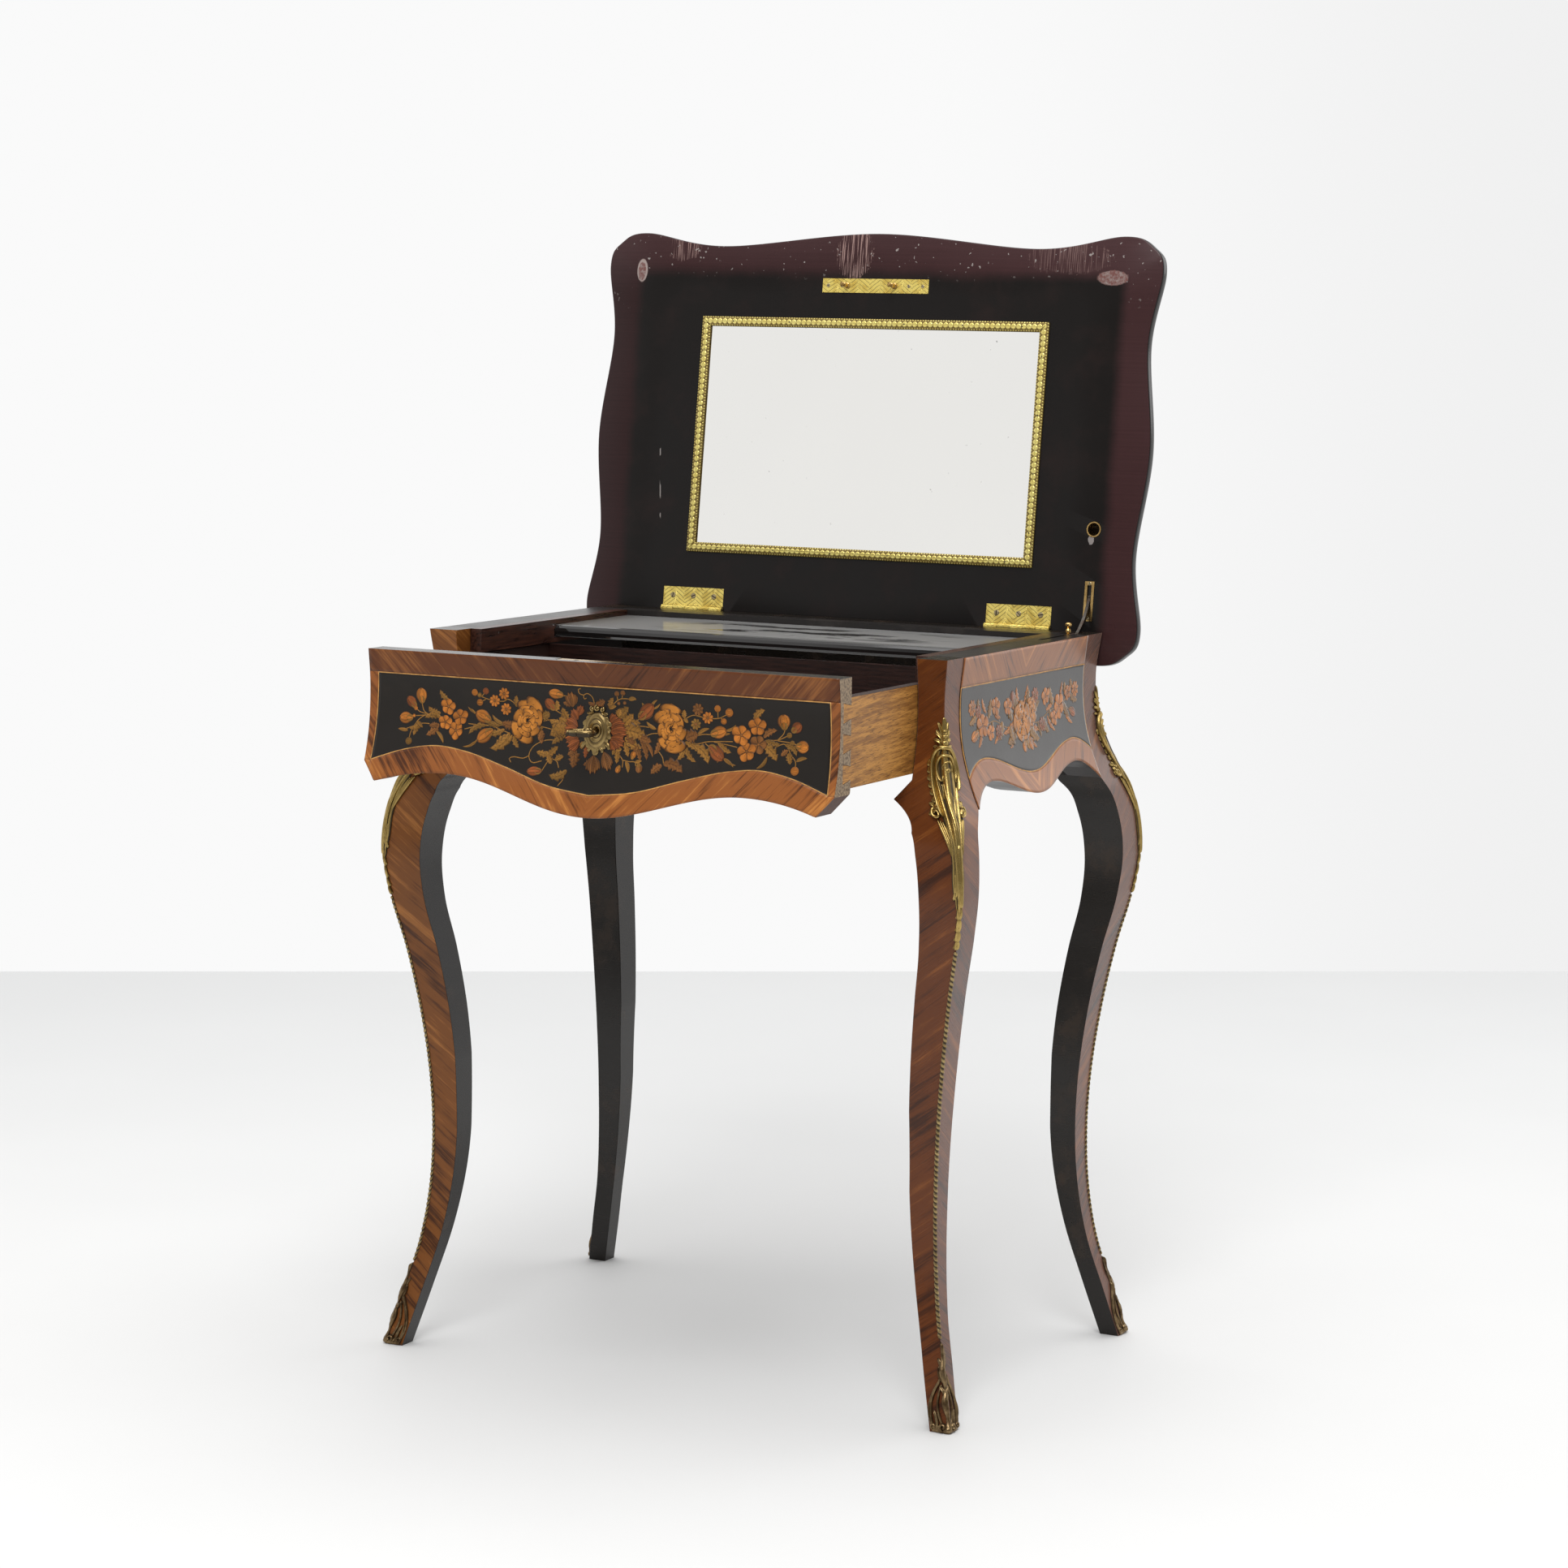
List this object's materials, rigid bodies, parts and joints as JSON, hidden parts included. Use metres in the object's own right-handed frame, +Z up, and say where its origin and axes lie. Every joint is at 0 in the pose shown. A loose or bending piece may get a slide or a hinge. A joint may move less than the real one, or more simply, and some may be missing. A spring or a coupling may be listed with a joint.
{
  "type": "occasional_table",
  "caption": "Small dressing table with bombe case, cabriole legs, a lift-up lid with a mirror inside, a lockable drawer and gilt mounts.",
  "frame": {"origin": "On the floor, under the middle of the table's bounding box as it is stored, with the lid open and the drawer out.", "axes": "+Z is up. -Y is the front, where the drawer opens. +X is to the right of someone facing the drawer."},
  "size_m": [0.6328, 0.6184, 1.1063],
  "materials": {
    "kingwood": "French-polished kingwood veneer with floral marquetry",
    "ebonised_wood": "black polish",
    "rosewood": "dark polished veneer",
    "oak": "waxed",
    "gilt_brass": "gilt, polished",
    "worn_gilt_bronze": "gilt bronze, worn and darkened",
    "steel": "dull steel",
    "mirror": "silvered plate glass"
  },
  "bodies": {
    "case": {"leg_front_left": "kingwood", "leg_front_right": "kingwood", "leg_back_left": "kingwood", "leg_back_right": "kingwood", "side_panel_left": "kingwood", "side_panel_right": "kingwood", "back_panel": "kingwood", "back_rail": "ebonised_wood", "drawer_kicker_left": "ebonised_wood", "drawer_kicker_right": "ebonised_wood", "rear_shelf": "ebonised_wood", "drawer_runner_left": "oak", "drawer_runner_right": "oak", "chute_front_left": "gilt_brass", "chute_front_right": "gilt_brass", "chute_back_left": "gilt_brass", "chute_back_right": "gilt_brass", "edge_rope_front_left": "worn_gilt_bronze", "edge_rope_front_right": "worn_gilt_bronze", "edge_rope_back_left": "worn_gilt_bronze", "edge_rope_back_right": "worn_gilt_bronze", "sabot_front_left": "worn_gilt_bronze", "sabot_front_right": "worn_gilt_bronze", "sabot_back_left": "worn_gilt_bronze", "sabot_back_right": "worn_gilt_bronze", "hinge_case_leaf_left": "gilt_brass", "hinge_case_leaf_right": "gilt_brass", "hinge_pin_left": "steel", "hinge_pin_right": "steel"},
    "lid": {"lid_board": "rosewood", "mirror_glass": "mirror", "mirror_frame_top": "gilt_brass", "mirror_frame_bottom": "gilt_brass", "mirror_frame_left": "gilt_brass", "mirror_frame_right": "gilt_brass", "strike_plate": "gilt_brass", "strike_stud_left": "gilt_brass", "strike_stud_right": "gilt_brass", "knob_bush": "gilt_brass", "stay_plate": "gilt_brass", "stay_pin": "steel", "hinge_lid_leaf_left": "gilt_brass", "hinge_lid_leaf_right": "gilt_brass"},
    "drawer": {"drawer_front": "kingwood", "drawer_side_left": "oak", "drawer_side_right": "oak", "drawer_back": "oak", "drawer_bottom": "oak", "drawer_partition": "oak", "escutcheon": "worn_gilt_bronze", "lock_case": "steel", "lock_selvedge": "gilt_brass"},
    "lock_bolt": {"lock_bolt": "steel"},
    "key": {"key": "worn_gilt_bronze"},
    "stay_arm": {"stay_arm": "steel"},
    "stay_knob": {"stay_knob": "gilt_brass"}
  },
  "joints": [
    {"name": "lid_hinge", "type": "hinge", "parent": "case", "child": "lid", "pos_m": [0, 0.23964, 0.7153], "axis": [1, 0, 0], "range_deg": [0, 97.25]},
    {"name": "drawer_slide", "type": "slide", "parent": "case", "child": "drawer", "axis": [0, -1, 0], "range_m": [-0.1544, 0.086]},
    {"name": "key_turn", "type": "hinge", "parent": "drawer", "child": "key", "pos_m": [0, -0.27326, 0.6474], "axis": [0, 1, 0], "range_deg": [0, 90]},
    {"name": "bolt_slide", "type": "slide", "parent": "drawer", "child": "lock_bolt", "axis": [1, 0, 0], "range_m": [0, 0.0046]},
    {"name": "stay_pivot", "type": "hinge", "parent": "lid", "child": "stay_arm", "pos_m": [0.2622, 0.2478, 0.74854], "axis": [1, 0, 0], "range_deg": [-132.5, 0]},
    {"name": "stay_slide", "type": "slide", "parent": "case", "child": "stay_knob", "axis": [0, -1, 0], "range_m": [0, 0.0583]}
  ],
  "couplings": [
    {"joint": "bolt_slide", "follows": "key_turn", "m_per_rad": 0.0026738},
    {"joint": "stay_pivot", "follows": "lid_hinge", "ratio": -1.3592},
    {"joint": "stay_slide", "follows": "lid_hinge", "m_per_rad": 0.034244}
  ]
}
